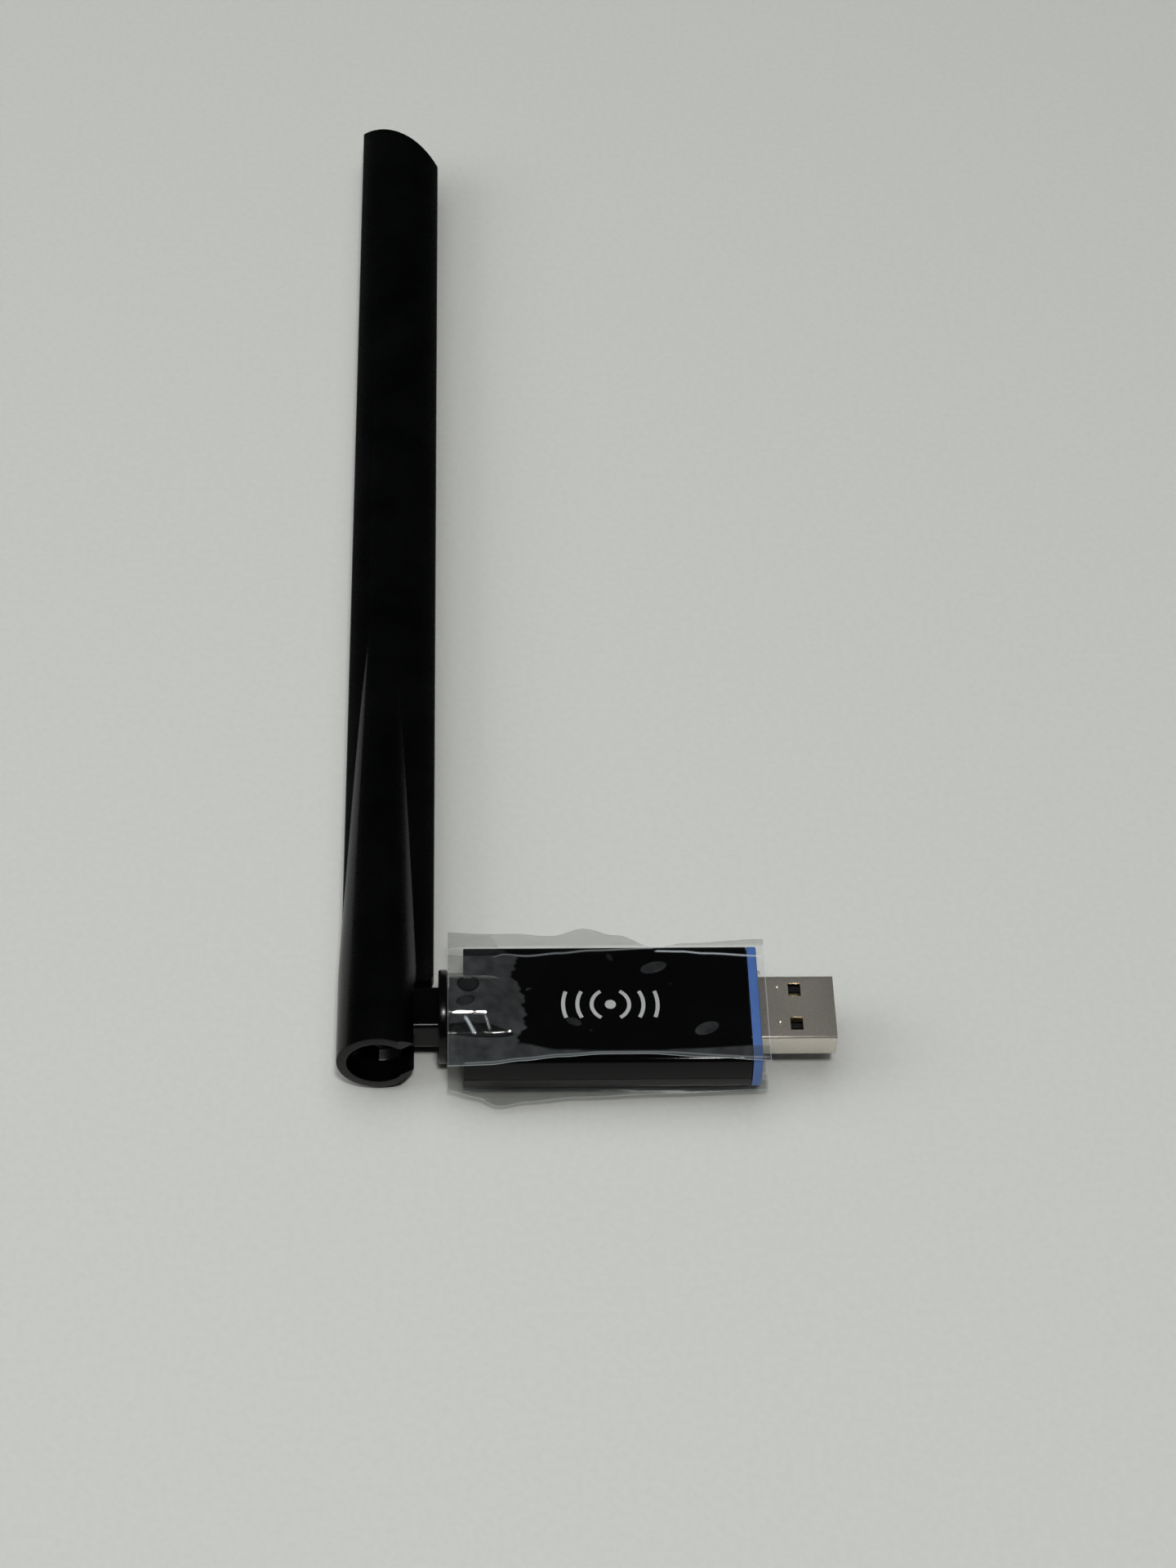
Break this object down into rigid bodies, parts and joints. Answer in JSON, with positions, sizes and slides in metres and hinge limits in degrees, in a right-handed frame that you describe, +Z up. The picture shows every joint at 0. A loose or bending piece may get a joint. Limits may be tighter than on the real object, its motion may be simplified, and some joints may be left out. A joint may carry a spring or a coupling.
{
  "type": "usb wifi adapter",
  "caption": "Slim USB plug-in wireless adapter with a gloss black body, blue end trim and a long satin black blade antenna on a swivel and tilt knuckle.",
  "frame": {"origin": "under the middle of the whole adapter, on the surface that it lies on", "axes": "+X along the body towards the plug, +Y along the folded antenna towards its tip, +Z up, square to the body's top face"},
  "size_m": [0.077, 0.224, 0.0146],
  "materials": {
    "gloss_black_shell": "high gloss black moulded plastic",
    "satin_black_shell": "satin black moulded plastic with a very fine texture",
    "blue_trim": "semi-matte blue moulded plastic",
    "nickel_plate": "nickel plated pressed steel, faintly brushed",
    "plug_insulator": "moulded insulator",
    "gold_plate": "gold flashed contact",
    "board_laminate": "green solder mask over glass laminate",
    "tinned_steel": "tin plated sheet",
    "chip_moulding": "dark moulding compound",
    "ceramic_part": "ceramic body",
    "lead_jacket": "coaxial jacket",
    "clear_film": "clear glossy protective film",
    "friction_rubber": "rubber friction ring",
    "spring_steel": "spring steel",
    "copper_foil": "copper foil"
  },
  "bodies": {
    "adapter_body": {"top_cover": "gloss_black_shell", "bottom_cover": "gloss_black_shell", "end_bezel": "blue_trim", "usb_shell": "nickel_plate", "usb_insulator": "plug_insulator", "usb_contact_1": "gold_plate", "usb_contact_2": "gold_plate", "usb_contact_3": "gold_plate", "usb_contact_4": "gold_plate", "circuit_board": "board_laminate", "shield_can": "tinned_steel", "radio_chip": "chip_moulding", "memory_chip": "chip_moulding", "crystal": "tinned_steel", "voltage_regulator": "chip_moulding", "power_inductor": "chip_moulding", "coax_connector": "gold_plate", "antenna_match_part_1": "ceramic_part", "antenna_match_part_2": "ceramic_part", "coax_lead_body": "lead_jacket", "protective_film_top": "clear_film", "protective_film_bottom": "clear_film"},
    "swivel": {"swivel_knuckle": "gloss_black_shell", "swivel_friction_ring": "friction_rubber", "retaining_clip": "spring_steel", "coax_lead_swivel": "lead_jacket"},
    "antenna": {"antenna_front_shell": "satin_black_shell", "antenna_back_shell": "satin_black_shell", "hinge_washer_upper": "spring_steel", "hinge_washer_lower": "spring_steel", "antenna_board": "board_laminate", "copper_arm_upper": "copper_foil", "copper_arm_lower": "copper_foil", "coax_lead_antenna": "lead_jacket"}
  },
  "joints": [
    {"name": "antenna_swivel", "type": "hinge", "parent": "adapter_body", "child": "swivel", "pos_m": [-0.03215, -0.10025, 0.0073], "axis": [1, 0, 0], "range_deg": [0, 180]},
    {"name": "antenna_tilt", "type": "hinge", "parent": "swivel", "child": "antenna", "pos_m": [-0.03215, -0.10025, 0.0073], "axis": [0, 0, 1], "range_deg": [0, 90]}
  ]
}
